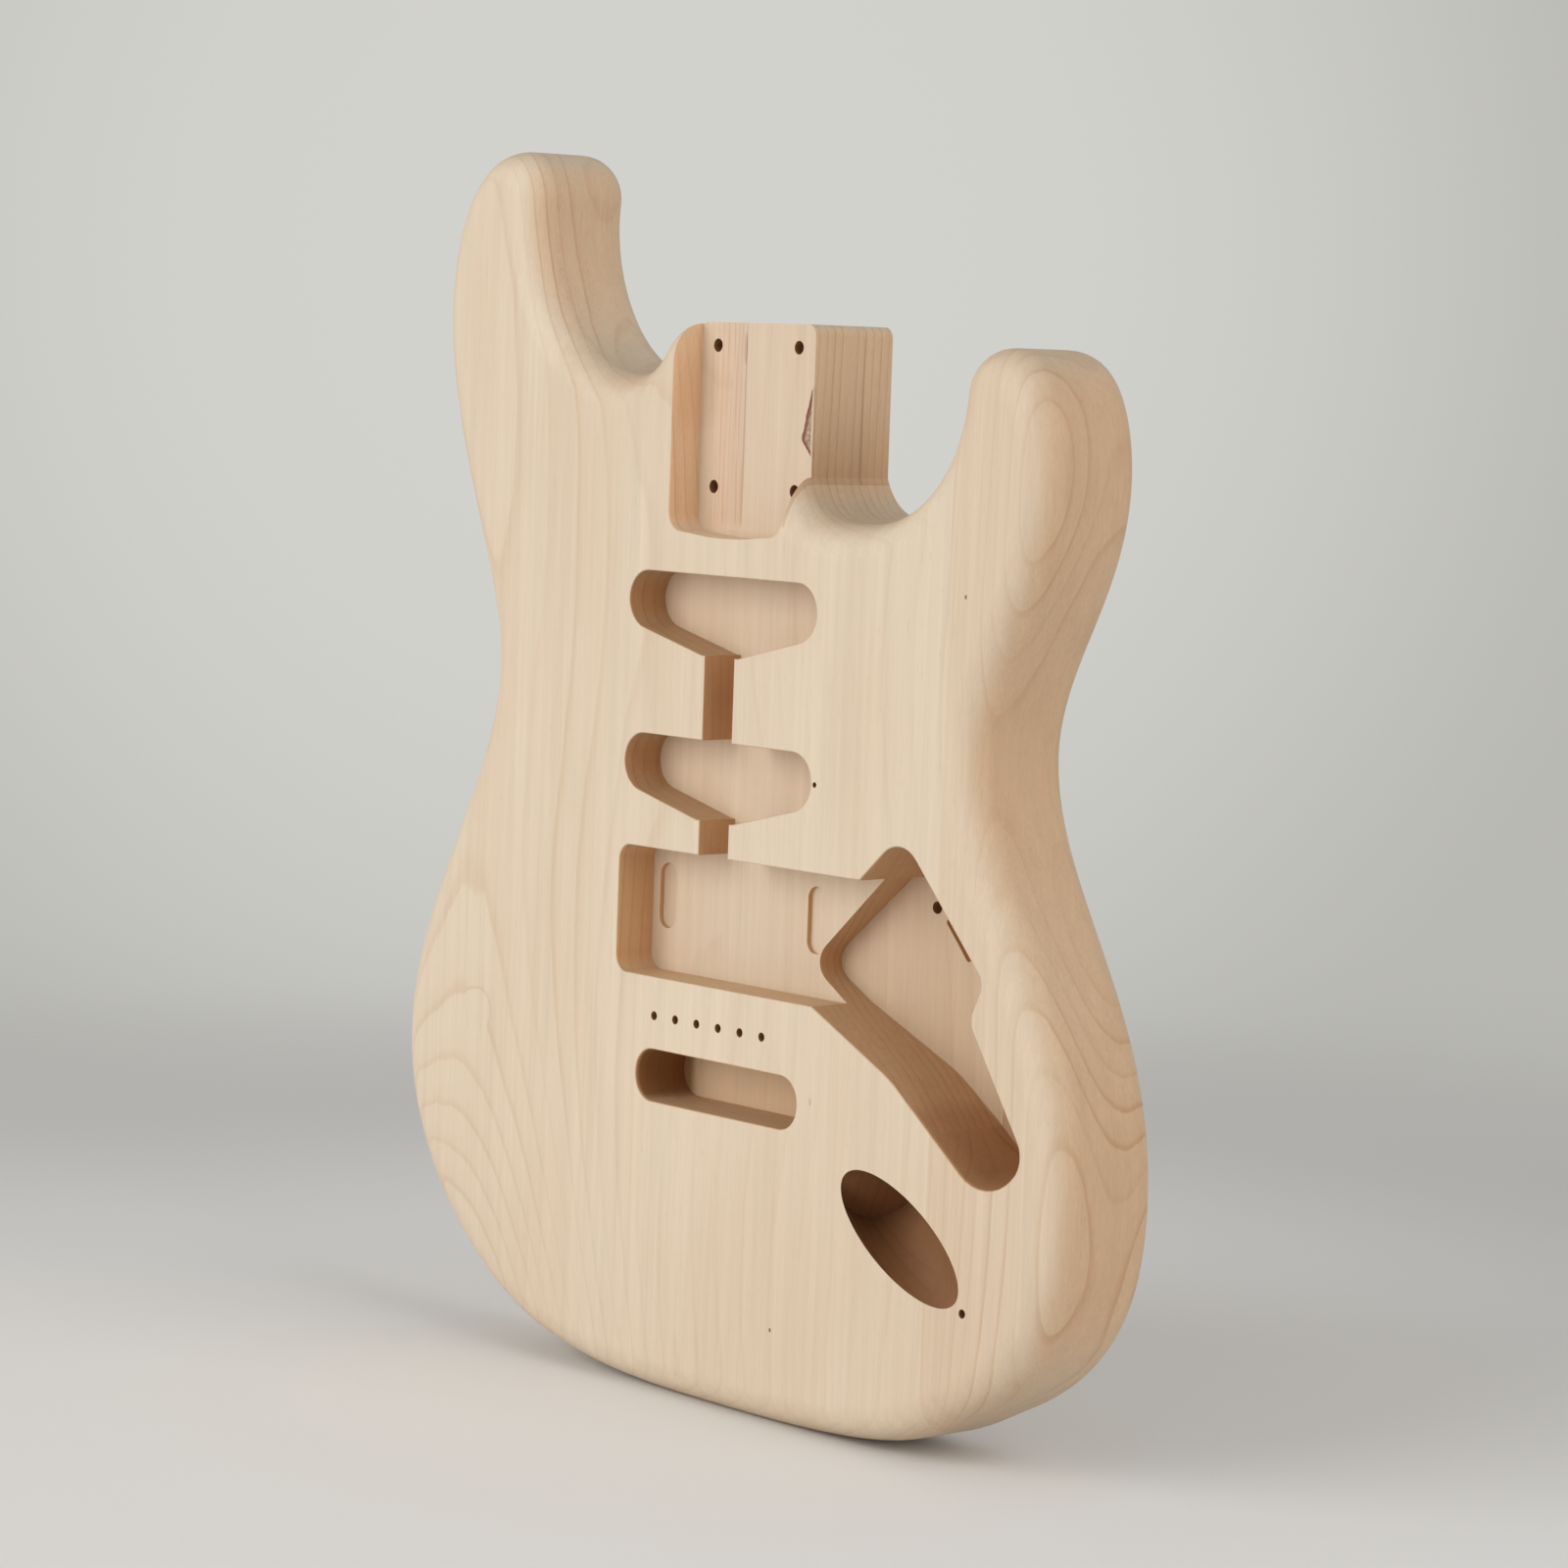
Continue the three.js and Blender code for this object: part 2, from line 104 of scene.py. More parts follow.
def curve_places(places):
    """Points along the smooth curve through some places, without the last place itself."""
    points = []
    for start, end in zip(places, places[1:]):
        knots = []
        for across, up, heading, before, after in (start, end):
            knot = Vector((centreline + across * body_width, up * body_length))
            along = Vector((math.cos(heading * math.tau), math.sin(heading * math.tau))) * body_length
            knots.append((knot, knot - along * before, knot + along * after))
        (first, _, leaving), (last, arriving, _) = knots
        points += interpolate_bezier(first, leaving, arriving, last, outline_steps + 1)[:-1]
    return [(point[0], point[1]) for point in points]


bass_places = (tail,) + bass_side
bass_end = bass_side[-1]
outline = curve_places(bass_places)
outline += [(centreline + bass_end[0] * body_width, heel_top), (centreline + pocket_half, heel_top)]
outline += curve_places((crease,) + treble_side + (tail,))

workshop = bpy.data.collections.new("workshop")
bpy.context.scene.collection.children.link(workshop)

# Until the boards are parted, a face's material index is the number of its kind of surface. Kind 0 is
# sanded, with no tint. Each kind of cut adds its two tints of painted shade and light, one for its walls
# and one for its floor, and its number stands in its cutter's faces.
sanded = 0
cut_light_and_shade = [((1, 1, 1), (1, 1, 1))]
surface_kinds = 8
surface_marks = [bpy.data.materials.new(f"surface_{number}") for number in range(surface_kinds)]


def cut_surface(wall_light_and_shade, floor_light_and_shade):
    """A kind of cut surface, by its two tints of painted shade and light: one for its walls, one for its
    floor.
    """
    cut_light_and_shade.append((wall_light_and_shade, floor_light_and_shade))
    return len(cut_light_and_shade) - 1


def workpiece(name, shape, surface):
    """Makes an object of a bmesh, all of one kind of surface, with its faces pointing outwards."""
    bmesh.ops.remove_doubles(shape, verts=shape.verts, dist=0.001)
    bmesh.ops.recalc_face_normals(shape, faces=shape.faces)
    for face in shape.faces:
        face.material_index = surface
    mesh = bpy.data.meshes.new(name)
    shape.to_mesh(mesh)
    shape.free()
    for mark in surface_marks:
        mesh.materials.append(mark)
    piece = bpy.data.objects.new(name, mesh)
    workshop.objects.link(piece)
    return piece


def raise_cap(shape, floor, height):
    """Draws a flat face forwards into a slab, and gives the slab's front cap."""
    raised = bmesh.ops.extrude_face_region(shape, geom=[floor])["geom"]
    cap = next(part for part in raised if isinstance(part, bmesh.types.BMFace))
    bmesh.ops.translate(shape, vec=(0, -height, 0), verts=cap.verts[:])
    return cap


def drawn_slab(points, from_depth, to_depth):
    """A slab of one drawn outline between two depths below the front face."""
    shape = bmesh.new()
    corners = [shape.verts.new((across, front_face + to_depth, up)) for across, up in points]
    raise_cap(shape, shape.faces.new(corners), to_depth - from_depth)
    return shape


def joined(name, base, tools, operation):
    """Cuts, joins or keeps the overlap of one piece with others, and gives the new piece."""
    held = bpy.data.collections.new(name)
    for tool in tools:
        held.objects.link(tool)
    step = base.modifiers.new(operation, "BOOLEAN")
    step.operation = operation
    step.solver = "EXACT"
    step.operand_type = "COLLECTION"
    step.collection = held
    bpy.context.view_layer.update()
    seen = base.evaluated_get(bpy.context.evaluated_depsgraph_get())
    mesh = bpy.data.meshes.new_from_object(seen)
    base.modifiers.remove(step)
    bpy.data.collections.remove(held)
    piece = bpy.data.objects.new(name, mesh)
    workshop.objects.link(piece)
    return piece


shape = drawn_slab(outline, 0, body_thickness)
rims = [edge for edge in shape.edges if abs(edge.verts[0].co.y - edge.verts[1].co.y) < 1]
bmesh.ops.bevel(
    shape,
    geom=rims,
    offset=edge_radius,
    offset_type="OFFSET",
    segments=round_over_steps,
    profile=0.5,
    affect="EDGES",
    clamp_overlap=False,
    material=-1,
)
blank = workpiece("blank", shape, sanded)

# The heel

# The block behind the neck pocket. It keeps its square edges at the back, where the steel neck plate
# sits, as far as both crotches. There the round-over cutter was lifted and left its scoop.
heel_corner = 3.6
bearing_radius = 6.3
round_steps = 96
overrun = 3.0

# Heights that are given as "up" in the cuts start from the bridge line, the row of the bridge's screws
pocket_length = 70.0
pocket_end = 157.6
heel_up = pocket_end + pocket_length
bridge_line = heel_top - pocket_length - pocket_end


def place_box(name, low, high):
    """A plain block between two corners."""
    shape = bmesh.new()
    low, high = Vector(low), Vector(high)
    middle = Matrix.Translation((low + high) / 2) @ Matrix.Diagonal((*(high - low), 1))
    bmesh.ops.create_cube(shape, size=1, matrix=middle)
    return workpiece(name, shape, sanded)


scoops = []
for name, (across, up, *_) in (("bass_scoop", bass_crotch), ("treble_scoop", treble_crotch)):
    shape = bmesh.new()
    profile = [(0, back_face - edge_radius)]
    for step in range(round_over_steps + 1):
        turn = math.pi / 2 * step / round_over_steps
        profile.append(
            (
                bearing_radius + edge_radius * (1 - math.cos(turn)),
                back_face - edge_radius * (1 - math.sin(turn)),
            )
        )
    profile += [(bearing_radius + edge_radius, back_face + overrun), (0, back_face + overrun)]
    corners = [shape.verts.new((radius, depth, 0)) for radius, depth in profile]
    edges = [shape.edges.new(pair) for pair in zip(corners, corners[1:])]
    bmesh.ops.spin(
        shape,
        geom=corners + edges,
        cent=(0, 0, 0),
        axis=(0, 1, 0),
        angle=math.tau,
        steps=round_steps,
        use_merge=True,
    )
    centre = Vector((centreline + across * body_width, 0, up * body_length + bearing_radius))
    bmesh.ops.translate(shape, vec=centre, verts=shape.verts)
    scoops.append(workpiece(name, shape, sanded))

shape = drawn_slab(outline, body_thickness / 2, body_thickness)
full_slab = workpiece("full_slab", shape, sanded)
heel_low = treble_crotch[1] * body_length - 2 * edge_radius
around_heel = place_box(
    "around_heel",
    (centreline + bass_crotch[0] * body_width, front_face, heel_low),
    (centreline + treble_crotch[0] * body_width, back_face + overrun, heel_top + overrun),
)
heel = joined("heel", full_slab, [around_heel], "INTERSECT")
heel = joined("scooped_heel", heel, scoops, "DIFFERENCE")
blank = joined("blank_with_heel", blank, [heel], "UNION")

# The neck pocket

# Routed 12 mm deep from the front and open at the top. Its end wall is slightly bowed, and four screw
# holes go through its floor.
pocket_depth = 12.1
pocket_corner, pocket_corner_up = 6, 160.2
end_wall_radius = 126
neck_screw_across = 20
neck_screws_up = (220.1, 174.2)
neck_screw_radius = 2.2
corner_steps = 8
hole_sides = 32
lip = 0.4
cutters = []
# Painted light on the pocket's walls and slight painted shade on its floor; painted shade in the screw
# holes
pocket_surface = cut_surface((1.13, 1.09, 1.04), (0.96, 0.93, 0.91))
hole_surface = cut_surface((0.50, 0.34, 0.22), (0.50, 0.34, 0.22))


def drawn_corners(corners, from_depth, to_depth):
    """A slab between two depths whose drawn corners, (across, up, radius), are rounded, and its cap."""
    shape = bmesh.new()
    ring = [
        shape.verts.new((centreline + across, front_face + to_depth, bridge_line + up))
        for across, up, _ in corners
    ]
    shape.faces.new(ring)
    for corner, (_, _, radius) in zip(ring, corners):
        if radius:
            sides = [(edge.other_vert(corner).co - corner.co).normalized() for edge in corner.link_edges]
            half_angle = sides[0].angle(sides[1]) / 2
            bmesh.ops.bevel(
                shape,
                geom=[corner],
                offset=radius / math.tan(half_angle),
                offset_type="OFFSET",
                segments=corner_steps,
                profile=0.5,
                affect="VERTICES",
                clamp_overlap=False,
                material=-1,
            )
    return shape, raise_cap(shape, shape.faces[:][0], to_depth - from_depth)


def router_cut(name, corners, depth, surface):
    """A cutter for one cavity. Its front end flares, so the cavity's edge comes out slightly eased."""
    shape, cap = drawn_corners(corners, lip, depth)
    bmesh.ops.recalc_face_normals(shape, faces=shape.faces)
    for outwards, forwards in ((0.3 * lip, 0.7 * lip), (1.75 * lip, 0.75 * lip)):
        bmesh.ops.inset_region(
            shape,
            faces=[cap],
            thickness=-outwards,
            depth=forwards,
            use_even_offset=True,
            use_boundary=True,
        )
    cutters.append(workpiece(name, shape, surface))


def drill(name, start, end, radius, sides, surface=hole_surface):
    """A round cutter between two places."""
    start, end = Vector(start), Vector(end)
    shape = bmesh.new()
    turn = (end - start).to_track_quat("Z", "Y").to_matrix().to_4x4()
    bmesh.ops.create_cone(
        shape,
        cap_ends=True,
        segments=sides,
        radius1=radius,
        radius2=radius,
        depth=(end - start).length,
        matrix=Matrix.Translation((start + end) / 2) @ turn,
    )
    cutters.append(workpiece(name, shape, surface))


def front_hole(name, across, up, radius, from_depth, to_depth):
    """A hole drilled straight in from the front, between two depths."""
    x, z = centreline + across, bridge_line + up
    drill(name, (x, front_face + from_depth, z), (x, front_face + to_depth, z), radius, hole_sides)


router_cut(
    "neck_pocket",
    (
        (-pocket_half, heel_up + overrun, 0),
        (pocket_half, heel_up + overrun, 0),
        (pocket_half, pocket_corner_up, pocket_corner),
        (0, pocket_end, end_wall_radius),
        (-pocket_half, pocket_corner_up, pocket_corner),
    ),
    pocket_depth,
    pocket_surface,
)
hole_start, hole_end = pocket_depth - 1, body_thickness + overrun
for across in (-neck_screw_across, neck_screw_across):
    for up in neck_screws_up:
        front_hole("neck_screw_hole", across, up, neck_screw_radius, hole_start, hole_end)

# The heel's outer corner at the top of its treble side is eased from front to back
corner_points = [
    (pocket_half + overrun, heel_up - heel_corner),
    (pocket_half + overrun, heel_up + overrun),
    (pocket_half - heel_corner, heel_up + overrun),
]
for step in range(corner_steps + 1):
    turn = math.pi / 2 * (1 - step / corner_steps)
    corner_points.append(
        (
            pocket_half - heel_corner + heel_corner * math.cos(turn),
            heel_up - heel_corner + heel_corner * math.sin(turn),
        )
    )
shape = drawn_slab(
    [(centreline + across, bridge_line + up) for across, up in corner_points],
    -overrun,
    body_thickness + overrun,
)
cutters.append(workpiece("heel_corner", shape, sanded))

# The two single-coil cavities

# Straight along the top, round at the ends, with a narrow foot. Two straight wiring channels join
# them to each other and to the bridge cavity.
pickup_depth = 15.2
pickup_half, pickup_corner = 46.6, 9.4
shoulder_drop, foot_drop, foot_half = 17, 26, 9
neck_pickup_top, middle_pickup_top = 146, 92.5
bridge_cavity_top = 55.1
channel_half = 7.3
pilot_across, pilot_up, pilot_radius, pilot_depth = 48.4, 83, 0.9, 8
# Painted shade on the pickup cavities' walls, and a little on their floors
pickup_surface = cut_surface((0.80, 0.64, 0.49), (0.98, 0.93, 0.88))
for name, top in (("neck_pickup", neck_pickup_top), ("middle_pickup", middle_pickup_top)):
    router_cut(
        name,
        (
            (-pickup_half, top, pickup_corner),
            (pickup_half, top, pickup_corner),
            (pickup_half, top - shoulder_drop, pickup_corner),
            (foot_half, top - foot_drop, 0),
            (-foot_half, top - foot_drop, 0),
            (-pickup_half, top - shoulder_drop, pickup_corner),
        ),
        pickup_depth,
        pickup_surface,
    )


def four_corners(left, low, right, high, radius):
    """The corners of a plain rectangle, all rounded alike."""
    return ((left, low, radius), (left, high, radius), (right, high, radius), (right, low, radius))


for name, low, high in (
    ("upper_channel", middle_pickup_top, neck_pickup_top - foot_drop),
    ("lower_channel", bridge_cavity_top, middle_pickup_top - foot_drop),
):
    channel = four_corners(-channel_half, low - overrun, channel_half, high + overrun, 0)
    router_cut(name, channel, pickup_depth, pickup_surface)
front_hole("pickup_pilot_hole", pilot_across, pilot_up, pilot_radius, -overrun, pilot_depth)

# The bridge cavity

# A wide pocket with two shallow leg recesses in its floor. On the treble side it runs on into the
# control cavity.
leg_half, leg_low, leg_high, leg_corner, leg_depth = 4.25, 26.8, 48.6, 4, 1.6
# Painted shade on the bridge cavity's walls and floor
bridge_surface = cut_surface((0.98, 0.84, 0.68), (0.95, 0.92, 0.89))
bridge_cavity = four_corners(-47.8, 12.8, 71.8, bridge_cavity_top, 5.4)
router_cut("bridge_cavity", bridge_cavity, pickup_depth, bridge_surface)
for middle in (-40, 34.5):
    leg = four_corners(middle - leg_half, leg_low, middle + leg_half, leg_high, leg_corner)
    shape, _ = drawn_corners(leg, pickup_depth - 1, pickup_depth + leg_depth)
    cutters.append(workpiece("leg_recess", shape, bridge_surface))

# The control cavity

# Routed deeper, with a floor that falls away towards its arm. A small hole and a narrow relief for
# the switch are cut into that floor.
control_left, control_low = 32.6, -39.0
control_width, control_height = 117.5, 112.5
control_step = 94.1
shallow_end, deep_end = 24.5, 31
floor_hole_radius, floor_hole_depth = 2, 35
relief_depth = 34

# The drawing's corners: shares of the cavity's width and height, and the radius as a share of the width.
# The second and the third are the two ends of the small step in the upper wall.
control_corners = (
    (0, 0.559, 0.059),
    (0.294, control_step / control_height, 0),
    (0.328, control_step / control_height, 0),
    (0.484, 0.982, 0.089),
    (0.819, 0.612, 0.042),
    (0.77, 0.5, 0.051),
    (1, 0.148, 0.072),
    (0.86, 0, 0.145),
    (0.475, 0.3, 0.34),
    (0.153, 0.461, 0),
)
control_drawing = [
    (control_left + across * control_width, control_low + up * control_height, radius * control_width)
    for across, up, radius in control_corners
]
# Painted shade on the control cavity's walls and floor
control_surface = cut_surface((0.88, 0.71, 0.55), (0.87, 0.78, 0.69))
router_cut("control_cavity", control_drawing, deep_end, control_surface)
whole_cut = cutters.pop()

# The falling floor, in a side view: it is level at both ends and slopes between 37 and 105 mm across
floor_left, floor_right = control_left - overrun, control_left + control_width + overrun
floor_profile = (
    (floor_left, -overrun),
    (floor_right, -overrun),
    (floor_right, deep_end),
    (105, deep_end),
    (37, shallow_end),
    (floor_left, shallow_end),
)
shape = bmesh.new()
side = [shape.verts.new((centreline + across, front_face + depth, 0)) for across, depth in floor_profile]
raised = bmesh.ops.extrude_face_region(shape, geom=[shape.faces.new(side)])["geom"]
far_side = [part for part in raised if isinstance(part, bmesh.types.BMVert)]
bmesh.ops.translate(shape, vec=(0, 0, body_length), verts=far_side)
falling_floor = workpiece("falling_floor", shape, control_surface)
cutters.append(joined("control_cut", whole_cut, [falling_floor], "INTERSECT"))
above_floor = shallow_end - overrun
front_hole("floor_hole", 77, 45.8, floor_hole_radius, above_floor, floor_hole_depth)

# The switch's relief: a narrow pocket, drawn at the middle of the bridge line, turned and set in place
switch_half_length, switch_half_width = 7.85, 2.5
switch_turn = Matrix.Rotation(math.radians(50.8), 3, "Y")
relief = four_corners(-switch_half_length, -switch_half_width, switch_half_length, switch_half_width, 1)
shape, _ = drawn_corners(relief, above_floor, relief_depth)
bridge_middle = Vector((centreline, 0, bridge_line))
bmesh.ops.translate(shape, vec=-bridge_middle, verts=shape.verts)
bmesh.ops.rotate(shape, matrix=switch_turn, verts=shape.verts)
bmesh.ops.translate(shape, vec=bridge_middle + Vector((87.7, 0, 37.3)), verts=shape.verts)
cutters.append(workpiece("switch_relief", shape, control_surface))

# The bridge's seat

# A row of six pilot holes for its screws, and the blind slot below them.
bridge_screws, screw_pitch = 6, 10.83
bridge_screw_radius, bridge_screw_depth = 1.5, 18
slot_depth = 21
# Painted shade on the blind slot's walls and floor
slot_surface = cut_surface((0.86, 0.71, 0.57), (0.95, 0.82, 0.68))
for place in range(bridge_screws):
    across = (place - (bridge_screws - 1) / 2) * screw_pitch
    front_hole("bridge_screw_hole", across, 0, bridge_screw_radius, -overrun, bridge_screw_depth)
router_cut("blind_slot", four_corners(-35.8, -28.4, 45, -11.1, 8.2), slot_depth, slot_surface)

# The jack bore

# A round bore at a low slope to the face, so it opens as a long oval. The pilot hole of one screw
# lies beside it.
slope, turn = math.radians(24.5), math.radians(28.9)
jack_radius, jack_reach = 12.8, 28.6
jack_pilot_radius, jack_pilot_depth = 1.45, 14
inward = Vector((-math.cos(slope) * math.cos(turn), math.sin(slope), math.cos(slope) * math.sin(turn)))
mouth = Vector((centreline + 95.4, front_face, bridge_line - 54.2))
jack_start = mouth - inward * 2 * jack_radius / math.sin(slope)
# Strong painted shade inside the bore
bore_surface = cut_surface((0.33, 0.185, 0.10), (0.33, 0.185, 0.10))
drill("jack_bore", jack_start, mouth + inward * jack_reach, jack_radius, round_steps, bore_surface)
front_hole("jack_pilot_hole", 125.1, -72.7, jack_pilot_radius, -overrun, jack_pilot_depth)

# The belly cut

# A broad scoop across the back of the bass waist, deepest at the body's edge. The photo doesn't show
# the back, so it is a guess.
belly_depth, belly_reach, belly_radius, belly_steps = 16.0, 62.0, 200.0, 360
tilt = math.atan2(belly_depth, belly_reach)
waist_across, waist_up = -0.368 * body_width, 112
waist_edge = Vector((centreline + waist_across, back_face - belly_depth, bridge_line + waist_up))
along = Vector((math.cos(tilt), math.sin(tilt), 0))
scoop_centre = waist_edge + Vector((-math.sin(tilt), math.cos(tilt), 0)) * belly_radius
scoop_start, scoop_end = scoop_centre - along * belly_reach, scoop_centre + along * 2 * belly_reach
drill("belly_cut", scoop_start, scoop_end, belly_radius, belly_steps, sanded)

# The three boards

# The routed body is parted at its two glue lines, given as shares of its width. Each board was sawn
# from another part of a log.
routed_body = joined("routed_body", blank, cutters, "DIFFERENCE")
bass_glue_line = centreline - 0.0345 * body_width
treble_glue_line = centreline + 0.3228 * body_width
board_spans = (
    ("bass_side_board", -body_width, bass_glue_line),
    ("centre_board", bass_glue_line, treble_glue_line),
    ("treble_side_board", treble_glue_line, body_width),
)
to_metres = Matrix.Scale(0.001, 4)
sharp_angle = math.radians(17)
sliver_sides = 8
tint_names = ("wall_light_and_shade", "floor_light_and_shade")
boards = {}
for name, left, right in board_spans:
    low = (left, front_face - overrun, -overrun)
    high = (right, back_face + overrun, body_length + overrun)
    parted = joined(name + "_parted", routed_body, [place_box("span", low, high)], "INTERSECT")
    mesh = parted.data

    # The cuts can lose a sliver of a face at the top of the heel, which is filled in again here
    shape = bmesh.new()
    shape.from_mesh(mesh)
    open_edges = [edge for edge in shape.edges if edge.is_boundary]
    bmesh.ops.holes_fill(shape, edges=open_edges, sides=sliver_sides)
    bmesh.ops.recalc_face_normals(shape, faces=shape.faces)
    shape.to_mesh(mesh)
    shape.free()
    mesh.transform(to_metres)

    # The kinds of surface become two tints of painted shade and light on each face, which the wood's
    # material reads
    for which, tint_name in enumerate(tint_names):
        tints = mesh.attributes.new(tint_name, "FLOAT_COLOR", "FACE")
        for face in mesh.polygons:
            tints.data[face.index].color = (*cut_light_and_shade[face.material_index][which], 1)
    for face in mesh.polygons:
        face.material_index = 0
    mesh.materials.clear()
    mesh.shade_smooth()
    mesh.set_sharp_from_angle(angle=sharp_angle)
    board = bpy.data.objects.new(name + "_wood", mesh)
    bpy.context.scene.collection.objects.link(board)
    normals = board.modifiers.new("even_faces", "WEIGHTED_NORMAL")
    normals.keep_sharp = True
    normals.weight = 60
    boards[name] = board
    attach(board, "root")
    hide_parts(name)
for piece in list(workshop.objects):
    bpy.data.objects.remove(piece)
bpy.data.collections.remove(workshop)


# The wood of all three boards

# Bare pale hardwood, sanded and not finished. Its pattern is solid, so the ring lines run on round
# the edges and down the walls of the cuts.
class Grain:
    """A value at each place in the wood. Its sums and products become nodes of the material."""

    tree = None

    def __init__(self, socket):
        self.socket = socket

    @classmethod
    def node(cls, kind, inputs=(), **settings):
        """Adds a node to the material in hand, with its settings and its inputs."""
        made = cls.tree.nodes.new(kind)
        for key, value in settings.items():
            setattr(made, key, value)
        for name, value in dict(inputs).items():
            if isinstance(value, Grain):
                cls.tree.links.new(value.socket, made.inputs[name])
            else:
                made.inputs[name].default_value = value
        return made

    @classmethod
    def result(cls, operation, *values):
        """What one operation gives on one or two values."""
        return cls(cls.node("ShaderNodeMath", enumerate(values), operation=operation).outputs[0])

    def __add__(self, other):
        return Grain.result("ADD", self, other)

    def __sub__(self, other):
        return Grain.result("SUBTRACT", self, other)

    def __rsub__(self, other):
        return Grain.result("SUBTRACT", other, self)

    def __mul__(self, other):
        return Grain.result("MULTIPLY", self, other)

    def __truediv__(self, other):
        return Grain.result("DIVIDE", self, other)

    __radd__ = __add__
    __rmul__ = __mul__


def noise(place, detail, stretch, roughness=0.5):
    """Cloudy noise from 0 to 1, with its spots drawn out along the wood's fibres."""
    spread = Grain.node("ShaderNodeVectorMath", {0: place, 1: stretch}, operation="MULTIPLY")
    settings = {"Scale": 1, "Detail": detail, "Roughness": roughness}
    cloud = Grain.node("ShaderNodeTexNoise", {"Vector": Grain(spread.outputs[0]), **settings})
    return Grain(cloud.outputs[0])


def ramp(value, low, high, to_low=0.0, to_high=1.0, smooth=True):
    """Brings a value from one range into another, and keeps it there."""
    made = Grain.node(
        "ShaderNodeMapRange",
        {"Value": value, "From Min": low, "From Max": high, "To Min": to_low, "To Max": to_high},
        interpolation_type="SMOOTHSTEP" if smooth else "LINEAR",
    )
    return Grain(made.outputs["Result"])


def blend(amount, under, over, kind="MIX"):
    """Lays one colour over another."""
    made = Grain.node("ShaderNodeMix", data_type="RGBA", blend_type=kind)
    for name, value in (("Factor", amount), ("A", under), ("B", over)):
        slots = [slot for slot in made.inputs if slot.name == name and slot.enabled]
        if isinstance(value, Grain):
            Grain.tree.links.new(value.socket, slots[0])
        else:
            slots[0].default_value = value
    return Grain(next(slot for slot in made.outputs if slot.enabled))


def patch(right, high, half_width, half_height, soft=0.5):
    """A soft oval spot: 1 in its middle and 0 outside it."""
    wide, tall = right / half_width, high / half_height
    return ramp(wide * wide + tall * tall, 1 - soft, 1 + soft, 1.0, 0.0)


def between(value, low, high, soft=0.5):
    """1 between two values, fading to 0 just outside them."""
    return ramp(value, low - soft, low) * ramp(value, high, high + soft, 1.0, 0.0)


